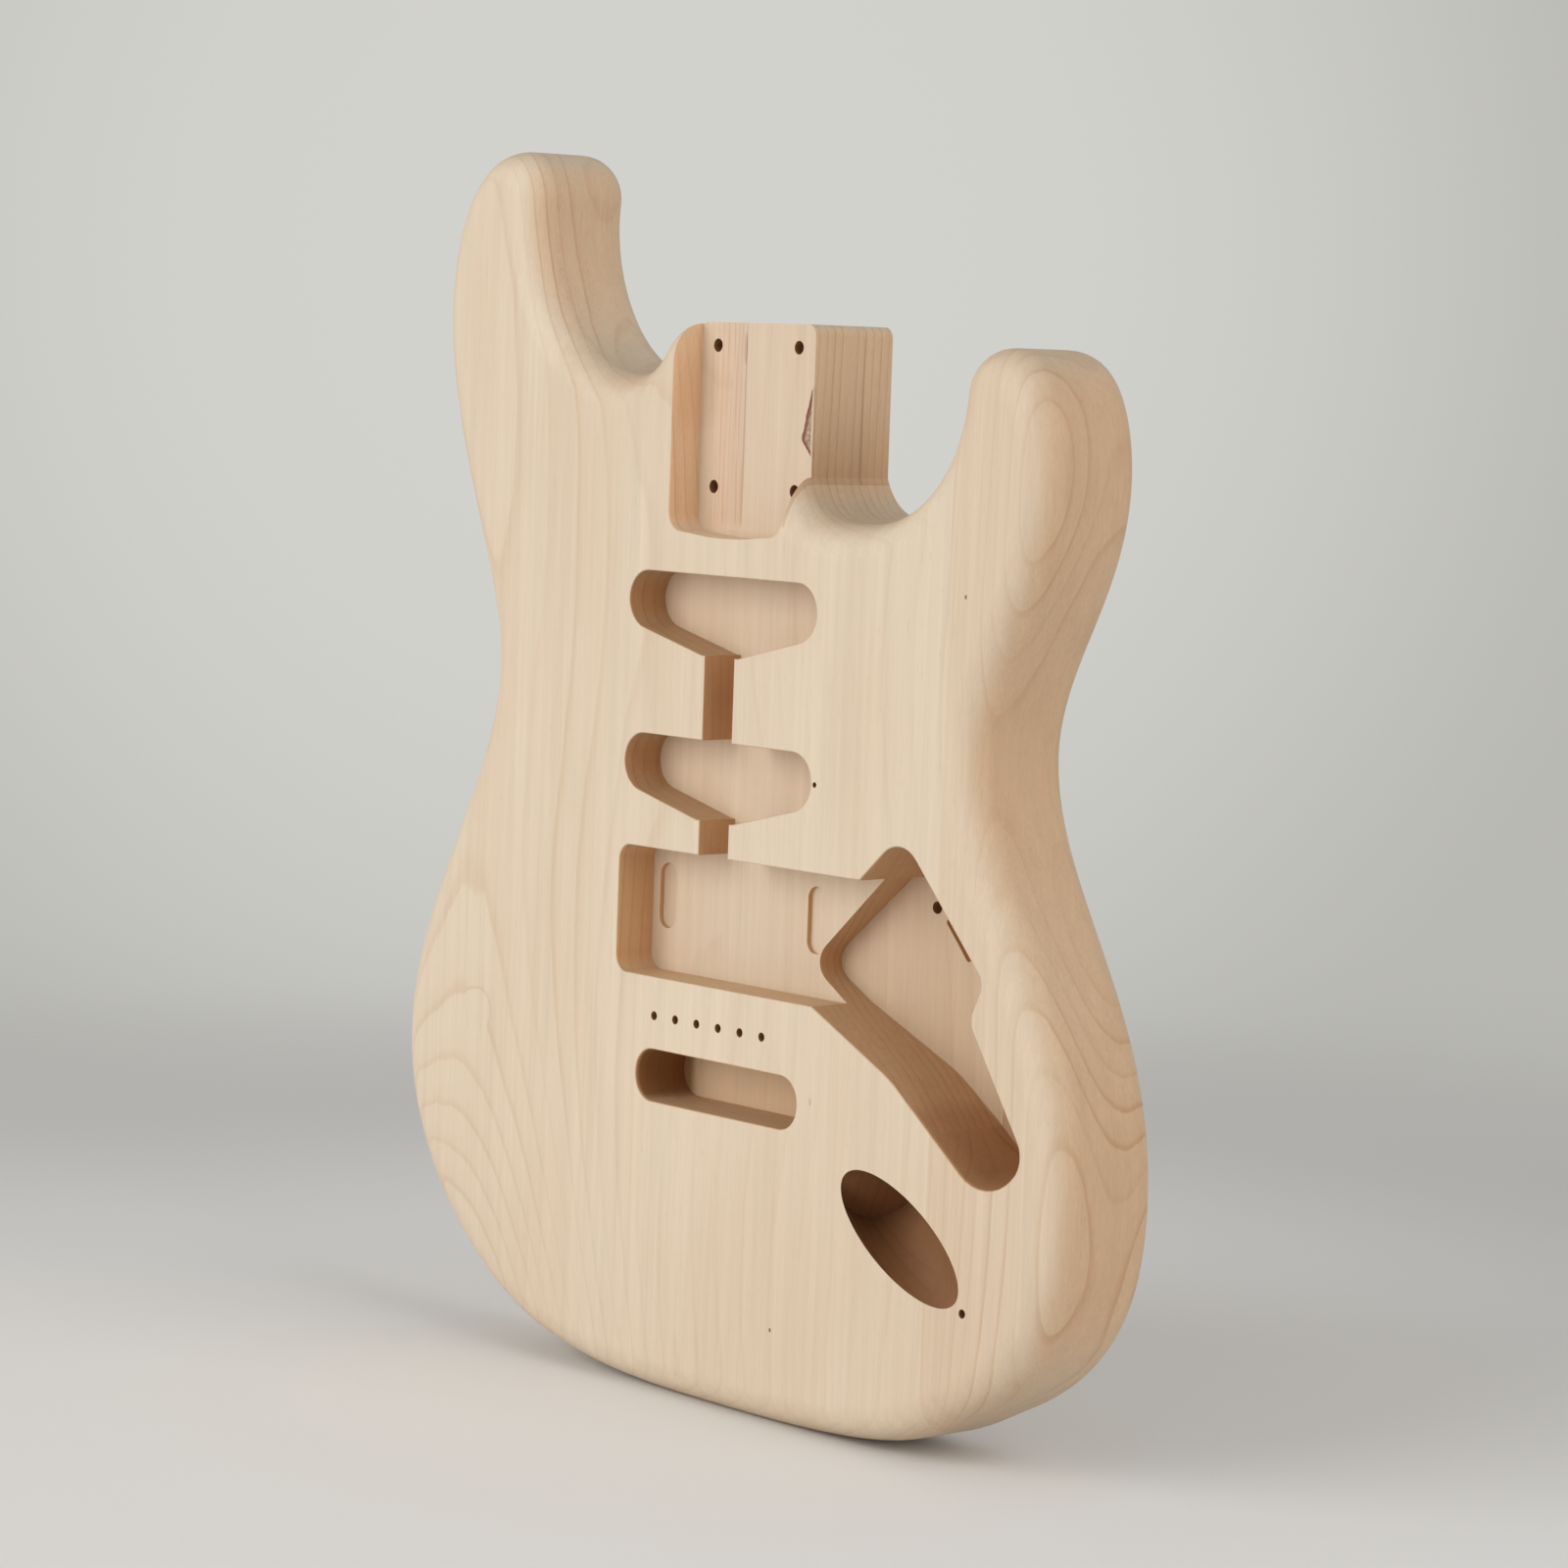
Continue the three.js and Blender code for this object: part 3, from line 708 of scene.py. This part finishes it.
def wood(name, growth, marks, seed, line_strength, side_lines, board_tint=(1, 1, 1, 1)):
    """Solid sanded wood: growth rings, fibres and vessels that run through the board in depth.

    Growth gives the count of rings at a place in millimetres, and seed is added to it. The ring lines
    have one strength in the faces and more of it in the sides. Marks adds what only this board has.
    """
    material = bpy.data.materials.new(name)
    material.use_nodes = True
    Grain.tree = material.node_tree
    shader = material.node_tree.nodes["Principled BSDF"]
    coordinates = Grain.node("ShaderNodeTexCoord").outputs
    place = Grain(coordinates["Object"])
    parts = Grain.node("ShaderNodeSeparateXYZ", {0: place})
    across, deep, up = (Grain(output) * 1000 for output in parts.outputs)
    facing = Grain.node("ShaderNodeSeparateXYZ", {0: Grain(coordinates["Normal"])})
    side_facing, front_facing, end_facing = (
        Grain.result("ABSOLUTE", Grain(output)) for output in facing.outputs
    )

    # Rings: each has a whole number, a share from 0 to 1 across its width and a strength of its own
    drift = noise(place, 2, (55, 55, 9)) - 0.5
    waver = noise(place, 2, (260, 260, 30)) - 0.5
    rings = growth(across, deep, up) + drift * 0.5 + waver * 0.09 + seed
    share = Grain.result("FRACT", rings)
    number = Grain.result("FLOOR", rings)
    own = Grain(Grain.node("ShaderNodeTexWhiteNoise", {"W": number}, noise_dimensions="1D").outputs[0])
    fading = noise(place, 1, (20, 20, 7))
    strong = ramp(own, 0.0, 1.0, 0.3, 1.0, False) * ramp(fading, 0.3, 0.7, 0.45, 1.1)
    late_wood = ramp(share, 0.25, 0.93) * 0.12
    ring_line = ramp(share, 0.74, 0.94) * ramp(share, 0.955, 1.0, 1.0, 0.0)

    # Finer stuff, drawn out along the board: fibres, streaks, clouds of colour, pores and sanding dust
    fibre = noise(place, 3, (1400, 1400, 22), 0.6)
    streak = noise(place, 2, (260, 260, 6), 0.55)
    cloud = noise(place, 2, (26, 26, 8))
    vessel = ramp(noise(place, 1, (2600, 2600, 140)), 0.70, 0.80)
    dust = noise(place, 3, (1000, 1000, 300), 0.65)

    # Colour: wood and lines first, then darker end grain, sides darker partly of their own and partly by
    # painted shade, and the cuts' painted shade and light
    sapwood = (0.715, 0.590, 0.445, 1)
    warm_wood = (0.690, 0.548, 0.400, 1)
    late_brown = (0.520, 0.315, 0.170, 1)
    end_tint = (0.80, 0.74, 0.68, 1)
    side_tint_and_shade = (0.99, 0.83, 0.69, 1)
    upright = 1 - ramp(front_facing, 0.2, 0.95)
    colour = blend(ramp(cloud, 0.35, 0.7, 0.0, 0.75), sapwood, warm_wood)
    lines = (late_wood + ring_line * 0.36) * strong * (line_strength + upright * side_lines)
    colour = blend(lines, colour, late_brown)
    tone = ramp(fibre, 0.25, 0.75, 0.95, 1.035, False) * ramp(streak, 0.3, 0.7, 0.965, 1.03, False)
    tone = tone * (1 - vessel * 0.12) * (1 + (dust - 0.5) * (0.06 + upright * 0.14))
    colour = blend(1.0, blend(1.0, colour, board_tint, "MULTIPLY"), tone, "MULTIPLY")
    colour = blend(ramp(end_facing, 0.45, 1.0) * 0.55, colour, end_tint, "MULTIPLY")
    # The sides are darker and warmer, half as the wood's own colour and half as painted shade
    colour = blend(ramp(side_facing, 0.5, 1.0) * 0.9, colour, side_tint_and_shade, "MULTIPLY")
    wall_light_and_shade, floor_light_and_shade = (
        Grain(Grain.node("ShaderNodeAttribute", attribute_name=tint_name).outputs["Color"])
        for tint_name in tint_names
    )
    # The painted shade and light of each kind of cut, from the face's two tints
    colour = blend(1.0, colour, blend(upright, floor_light_and_shade, wall_light_and_shade), "MULTIPLY")
    colour = marks(colour, across, deep, up, place)
    Grain.tree.links.new(colour.socket, shader.inputs["Base Color"])

    # Sheen and relief: the ring lines are a little duller, and the pores are open
    rough = 0.54 + ring_line * strong * 0.06 + (fibre - 0.5) * 0.12
    Grain.tree.links.new(rough.socket, shader.inputs["Roughness"])
    height = fibre * 0.6 + streak * 0.2 - ring_line * strong * 0.3 - vessel * 0.8
    bump = Grain.node("ShaderNodeBump", {"Height": height, "Strength": 0.35, "Distance": 0.00012})
    Grain.tree.links.new(bump.outputs[0], shader.inputs["Normal"])
    shader.inputs["Specular IOR Level"].default_value = 0.35
    return material


# The bass side board

# Its rings lie almost upright in the face, and lean away towards the lower bout, so its lines fan
# out there.
def bass_growth(across, deep, up):
    """The count of rings: a sum of powers of the place, in shares of the board, and a small wiggle.

    Most factors are the result of a least-squares fit to growth lines traced in the photo.
    """
    x, y, z = (across + 85) / 50, deep / 22.5, (up - 180) / 150
    slant = -2.931 + 1.752 * z - 0.878 * x + 0.301 * y + 0.954 * x * x + 0.197 * x * z - 2.197 * z * z
    rings = x * slant
    rings = rings + y * (-2.003 + 2.2 * y - 0.043 * z) + z * (0.237 + 2.129 * z - 2.134 * z * z)
    return rings + patch(across + 121, up - 117, 7, 6, 0.9) * 0.5


def in_cut(deep):
    """0 at the front face and 1 a little below it, to keep a mark on the walls of a cut."""
    return ramp(deep, -22.3, -20.5)


def on_pocket_floor(deep, up):
    """1 on the floor of the neck pocket, fading out near its end wall."""
    return between(deep, -11.5, -9.8, 0.4) * ramp(up, 286, 290)


def pink_floor(colour, across, deep, up, place):
    """Pinkish heartwood with fine threads, laid bare in the floor of the neck pocket."""
    pink_tint, thread_tint = (0.98, 0.90, 0.87, 1), (0.88, 0.74, 0.68, 1)
    pink = on_pocket_floor(deep, up) * ramp(across, -5.0, -4.0, 1.0, 0.0)
    pink = pink * ramp(across, -24, -14, 0.35, 1.0)
    colour = blend(pink * 0.7, colour, pink_tint, "MULTIPLY")
    threads = ramp(noise(place, 3, (900, 1, 16), 0.6), 0.50, 0.64)
    return blend(threads * pink, colour, thread_tint, "MULTIPLY")


def bass_marks(colour, across, deep, up, place):
    """A pinkish stain above the bass crotch, painted shade at the slot's end and the neck pocket's
    heartwood.
    """
    stain_tint, painted_shade_tint = (0.93, 0.83, 0.76, 1), (0.50, 0.38, 0.25, 1)
    stain = patch(across + 40, up - 330, 26, 12, 0.9) * ramp(deep, -22.4, -19)
    colour = blend(stain * 0.5, colour, stain_tint, "MULTIPLY")
    # Painted shade on the blind slot's bass end wall and the floor beside it
    slot_end_shade = between(up, 96, 116) * between(across, -36, -32, 5)
    slot_end_shade = slot_end_shade * in_cut(deep) * ramp(deep, -1.2, -0.6, 1.0, 0.0)
    colour = blend(slot_end_shade, colour, painted_shade_tint, "MULTIPLY")
    return pink_floor(colour, across, deep, up, place)


boards["bass_side_board"].data.materials.append(
    wood("bass_side_wood", bass_growth, bass_marks, seed=0, line_strength=0.68, side_lines=0.6)
)

# The centre board

# Flat-sawn, with its rings nearly parallel to the face. The face shows plain grain, and the walls of
# the cavities and of the heel show the rings edge-on.
def centre_growth(across, deep, up):
    """The count of rings: one every 3.3 mm of depth and every 13 mm across, in slow waves."""
    wave = Grain.result("SINE", up / 38 + across / 60) * 0.5
    return deep / 3.3 + across / 13 + wave + up / 300


def on_face(deep):
    """1 on the front face and 0 a little below it."""
    return ramp(deep, -21.5, -20.5, 1.0, 0.0)


def centre_marks(colour, across, deep, up, place):
    """Heartwood and bark in the neck pocket, the heel's side with painted shade at its foot, painted
    shade on the arm wall of the control cavity, and small specks.
    """
    colour = pink_floor(colour, across, deep, up, place)
    pocket_floor = on_pocket_floor(deep, up)

    # A thin brown line along the pocket's floor, strongest near its top
    heart_brown = (0.36, 0.20, 0.15, 1)
    heart_line = patch(across + 4.4, up - 322, 0.42, 40, 0.7) * 0.5
    heart_line = heart_line + patch(across + 4.9, up - 345, 0.8, 5) * 0.4
    colour = blend(heart_line * pocket_floor, colour, heart_brown)

    # A streak of bark at the pocket's open side: a flecked, dark inside and a red-brown rim
    bark_dark, bark_rim = (0.22, 0.13, 0.09, 1), (0.20, 0.055, 0.022, 1)
    bark_width = ramp(up, 316, 336, 5.8, 0.0, False) * ramp(up, 309.5, 318, 0.0, 1.0)
    bark = across - 28.9 + bark_width + (noise(place, 3, (420, 420, 240)) - 0.5) * 1.6
    flecks = ramp(noise(place, 2, (1500, 1500, 900)), 0.38, 0.62)
    inside = ramp(bark, 0, 0.5) * pocket_floor * ramp(bark_width, 0.3, 1.2)
    inside = inside * ramp(across, 27.9, 28.8, 1.0, 0.15)
    colour = blend(inside * (0.4 + flecks * 0.45), colour, bark_dark)
    colour = blend(inside * ramp(bark, 1.0, 2.6, 0.95, 0.0), colour, bark_rim)

    # The heel's treble side: painted shade that darkens it towards its foot, with a dark line and a dot
    foot_shade_tint, line_brown = (0.86, 0.77, 0.69, 1), (0.20, 0.09, 0.05, 1)
    heel_side = between(across, 29.13, 30.2, 0.04) * ramp(up, 288, 290)
    colour = blend(heel_side * ramp(up, 296, 332, 1.0, 0.0), colour, foot_shade_tint, "MULTIPLY")
    heel_line = patch(deep - 10.5, up - 296, 0.3, 48, 0.9) * 0.45
    heel_line = heel_line + patch(deep - 10.5, up - 295.5, 0.7, 0.9)
    colour = blend(heel_line * heel_side, colour, line_brown)

    # Painted shade on the wall of the control cavity's arm, above its falling floor
    arm_shade_tint = (0.84, 0.75, 0.67, 1)
    floor_depth = across * 0.0956 - 1.65
    shaded_arm_wall = in_cut(deep) * ramp(deep - floor_depth, -1.6, -0.6, 1.0, 0.0)
    shaded_arm_wall = shaded_arm_wall * ramp(across + up * 0.7, 177, 181) * between(up, 80, 124, 3)
    colour = blend(shaded_arm_wall, colour, arm_shade_tint, "MULTIPLY")

    # Two specks on the face
    speck_brown = (0.20, 0.11, 0.07, 1)
    specks = patch(across - 37.3, up - 32.0, 0.55, 0.7)
    specks = specks + patch(across - 52.8, up - 108.1, 0.6, 1.2) * 0.3
    return blend(specks * on_face(deep), colour, speck_brown)


boards["centre_board"].data.materials.append(
    wood("centre_wood", centre_growth, centre_marks, seed=0.3, line_strength=0.38, side_lines=0.8)
)

# The treble side board

# Its rings slope towards the rounded edge, so the round-over opens them into long nested loops at
# the horn and at the lower bout.
def treble_growth(across, deep, up):
    """The count of rings: a sum of powers of the place, in shares of the board.

    Most factors are the result of a least-squares fit to growth lines traced in the photo.
    """
    x, y, z = (across - 135) / 30, deep / 22.5, (up - 205) / 150
    rings = x * (-0.004 + 1.226 * x - 2.788 * y + 1.126 * z + 1.274 * x * x + 2.398 * x * y)
    rings = rings + x * (1.285 * y * y + 0.725 * z * z)
    rings = rings + y * (-2.371 + 0.845 * y - 0.539 * z + 0.963 * y * y + 2.462 * z * z)
    return (rings + z * (0.481 + 2.158 * z - 1.138 * z * z)) * 1.25


def treble_marks(colour, across, deep, up, place):
    """Painted shade at the end of the control cavity's arm, and one small speck on the face."""
    painted_shade_tint, speck_brown = (0.82, 0.74, 0.66, 1), (0.24, 0.13, 0.08, 1)
    # Painted shade on the walls at the end of the control cavity's arm
    arm_end_shade = ramp(across + up * 0.6, 213.3, 214.3, 1.0, 0.0)
    arm_end_shade = arm_end_shade * ramp(up, 80, 83) * ramp(up, 100, 140, 1.0, 0.0) * ramp(across, 151.5, 152.3, 1.0, 0.0)
    arm_end_shade = arm_end_shade * in_cut(deep) * ramp(deep, 9.2, 10, 1.0, 0.0)
    colour = blend(arm_end_shade, colour, painted_shade_tint, "MULTIPLY")
    speck = patch(across - 115.9, up - 271.9, 0.5, 0.7) * on_face(deep)
    return blend(speck, colour, speck_brown)


darker_board = (0.96, 0.925, 0.895, 1)
boards["treble_side_board"].data.materials.append(
    wood(
        "treble_side_wood",
        treble_growth,
        treble_marks,
        seed=0.35,
        line_strength=0.85,
        side_lines=0.35,
        board_tint=darker_board,
    )
)

# The studio

# A pale floor, with painted light that makes it lighter near the body and darker further out, which
# fades into a pale surround, soft light from the upper left of the front, and the camera at the
# photograph's angle.
floor_radius = 1.6
lit_near_paper, shaded_far_paper = (0.83, 0.82, 0.80, 1), (0.70, 0.69, 0.67, 1)
shape = bmesh.new()
bmesh.ops.create_circle(shape, cap_ends=True, segments=round_steps, radius=floor_radius)
floor_mesh = bpy.data.meshes.new("studio_floor")
shape.to_mesh(floor_mesh)
shape.free()
floor = bpy.data.objects.new("studio_floor", floor_mesh)
bpy.context.scene.collection.objects.link(floor)
paper = bpy.data.materials.new("floor_paper")
paper.use_nodes = True
Grain.tree = paper.node_tree
shader = paper.node_tree.nodes["Principled BSDF"]
shader.inputs["Roughness"].default_value = 0.9
shader.inputs["Specular IOR Level"].default_value = 0.2
place = Grain(Grain.node("ShaderNodeTexCoord").outputs["Object"])
reach = Grain(Grain.node("ShaderNodeVectorMath", {0: place}, operation="LENGTH").outputs["Value"])
# Painted light on the floor: lighter near the body, darker further out
shade = blend(ramp(reach, 0.28, 0.62), lit_near_paper, shaded_far_paper)
paper.node_tree.links.new(shade.socket, shader.inputs["Base Color"])
clear = Grain.node("ShaderNodeBsdfTransparent")
edge = Grain.node("ShaderNodeMixShader", {0: ramp(reach, 0.5, 1.05)})
paper.node_tree.links.new(shader.outputs[0], edge.inputs[1])
paper.node_tree.links.new(clear.outputs[0], edge.inputs[2])
paper.node_tree.links.new(edge.outputs[0], paper.node_tree.nodes["Material Output"].inputs["Surface"])
floor_mesh.materials.append(paper)

# The air: one soft fill lights the body, and only the eye sees the pale surround behind it, which
# turns darker towards the floor and has a faint glow to the left of the body
fill_colour, fill_strength = (1.0, 0.99, 0.97, 1), 0.42
low_surround, high_surround = (0.435, 0.432, 0.410, 1), (0.485, 0.482, 0.455, 1)
glow_colour = (1.0, 1.0, 0.98, 1)
world = bpy.data.worlds.new("studio_air")
bpy.context.scene.world = world
world.use_nodes = True
Grain.tree = world.node_tree
soft_fill = world.node_tree.nodes["Background"]
soft_fill.inputs["Color"].default_value = fill_colour
soft_fill.inputs["Strength"].default_value = fill_strength
gaze = Grain(Grain.node("ShaderNodeTexCoord").outputs["Generated"])
height = Grain(Grain.node("ShaderNodeSeparateXYZ", {0: gaze}).outputs[2])
glow_way = Vector((-0.775, 0.630, 0.022)).normalized()
nearness = Grain.node("ShaderNodeVectorMath", {0: gaze, 1: glow_way}, operation="DOT_PRODUCT")
glow = ramp(Grain(nearness.outputs["Value"]), 0.974, 1.0)
pale = blend(ramp(height, -0.17, -0.115), low_surround, high_surround)
pale = blend(glow * 0.16, pale, glow_colour, "ADD")
seen = Grain.node("ShaderNodeBackground", {"Color": pale})
rays = Grain.node("ShaderNodeLightPath").outputs
shown = Grain(rays["Is Camera Ray"]) + Grain(rays["Is Glossy Ray"]) + Grain(rays["Is Transmission Ray"])
chosen = Grain.node("ShaderNodeMixShader", {0: shown})
world.node_tree.links.new(soft_fill.outputs[0], chosen.inputs[1])
world.node_tree.links.new(seen.outputs[0], chosen.inputs[2])
world.node_tree.links.new(chosen.outputs[0], world.node_tree.nodes["World Output"].inputs["Surface"])


def soft_light(name, place, aim, size, power):
    """A large square softbox aimed at one place."""
    lamp = bpy.data.lights.new(name, "AREA")
    lamp.shape = "SQUARE"
    lamp.size = size
    lamp.energy = power
    holder = bpy.data.objects.new(name, lamp)
    holder.location = place
    holder.rotation_euler = (Vector(aim) - Vector(place)).to_track_quat("-Z", "Y").to_euler()
    bpy.context.scene.collection.objects.link(holder)


soft_light("front_softbox", (-0.55, -2.1, 0.8), (0, 0, 0.2), 2.2, 38)
soft_light("side_softbox", (1.7, 0.0, 1.0), (0, 0, 0.28), 1.2, 11.5)

# The camera, from a little above and to the treble side
camera = bpy.data.cameras.new("camera")
camera.lens = 109.0
camera.sensor_width = 36.0
camera.clip_start = 0.05
view = bpy.data.objects.new("camera", camera)
view.location = (1.16644, -1.00968, 0.34159)
view.rotation_euler = [math.radians(turned) for turned in (84.8987, -1.9846, 49.0724)]
bpy.context.scene.collection.objects.link(view)
bpy.context.scene.camera = view
bpy.context.scene.view_settings.view_transform = "Standard"

bpy.context.view_layer.update()
